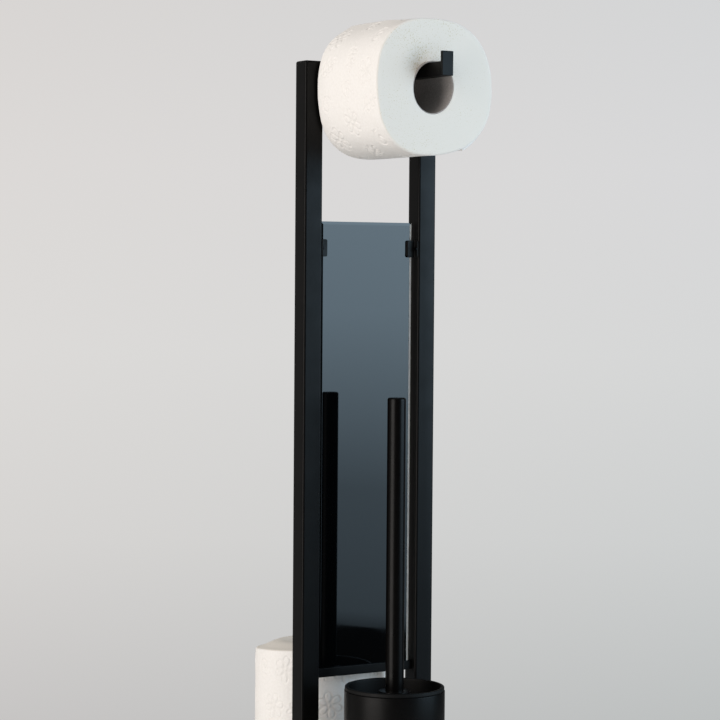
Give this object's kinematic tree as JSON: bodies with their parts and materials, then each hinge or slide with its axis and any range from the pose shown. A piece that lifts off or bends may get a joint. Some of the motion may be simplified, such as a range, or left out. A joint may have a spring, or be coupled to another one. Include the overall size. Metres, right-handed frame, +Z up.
{
  "type": "toilet butler stand",
  "caption": "Free-standing black steel toilet butler: square-tube hoop with a roll arm, dark glass pane, brush in a round holder, and a rear rod for spare rolls.",
  "frame": {"origin": "centre of the base's underside, on the floor", "axes": "+Z up, +X to the right seen from the front, -Y towards the front, where the roll arm and the brush holder are"},
  "size_m": [0.18, 0.2632, 0.756],
  "materials": {
    "powder_coat": "satin black powder coat on steel",
    "handle_coat": "smooth satin black coat on steel tube",
    "black_glass": "polished float glass, enamelled black on its back, with a bevelled edge",
    "clip_plastic": "moulded matt black",
    "pad_rubber": "soft matt",
    "mat_rubber": "fine-grained matt foam rubber",
    "screw_steel": "zinc-plated",
    "black_screw": "black oxide",
    "liner_plastic": "moulded matt black",
    "brush_plastic": "moulded matt black",
    "bristle_nylon": "black nylon bristles",
    "tissue_paper": "soft embossed tissue",
    "core_card": "wound grey-brown card"
  },
  "bodies": {
    "stand": {"anti_slip_mat": "mat_rubber", "base_plate": "powder_coat", "base_screws": "screw_steel", "post_left": "powder_coat", "post_right": "powder_coat", "post_plugs": "screw_steel", "top_bar": "powder_coat", "lower_crossbar": "powder_coat", "glass_panel": "black_glass", "glass_clip_left": "clip_plastic", "glass_clip_right": "clip_plastic", "clip_pads": "pad_rubber", "clip_screws": "black_screw", "roll_arm": "powder_coat", "arm_stop": "powder_coat", "arm_screw": "screw_steel", "brush_container": "powder_coat", "container_nut": "screw_steel", "spare_rod": "powder_coat"},
    "hanging_roll": {"hanging_roll_paper": "tissue_paper", "hanging_roll_core": "core_card"},
    "liner": {"container_liner": "liner_plastic"},
    "brush": {"brush_handle": "handle_coat", "handle_set_screw": "black_screw", "handle_collar": "handle_coat", "brush_stem": "brush_plastic", "brush_head": "brush_plastic", "brush_bristles": "bristle_nylon"},
    "spare_roll_lower": {"spare_roll_lower_paper": "tissue_paper", "spare_roll_lower_core": "core_card"},
    "spare_roll_upper": {"spare_roll_upper_paper": "tissue_paper", "spare_roll_upper_core": "core_card"}
  },
  "joints": [
    {"name": "roll_turn", "type": "hinge", "parent": "stand", "child": "hanging_roll", "pos_m": [0, -0.0747, 0.69751], "axis": [0, 1, 0], "continuous": true},
    {"name": "liner_lift", "type": "slide", "parent": "stand", "child": "liner", "axis": [0, 0, 1], "range_m": [0, 0.035]},
    {"name": "brush_lift", "type": "slide", "parent": "liner", "child": "brush", "axis": [0, 0, 1], "range_m": [0, 0.165]},
    {"name": "lower_roll_lift", "type": "slide", "parent": "stand", "child": "spare_roll_lower", "axis": [0, 0, 1], "range_m": [0, 0.17]},
    {"name": "upper_roll_lift", "type": "slide", "parent": "spare_roll_lower", "child": "spare_roll_upper", "axis": [0, 0, 1], "range_m": [0, 0.17]}
  ]
}
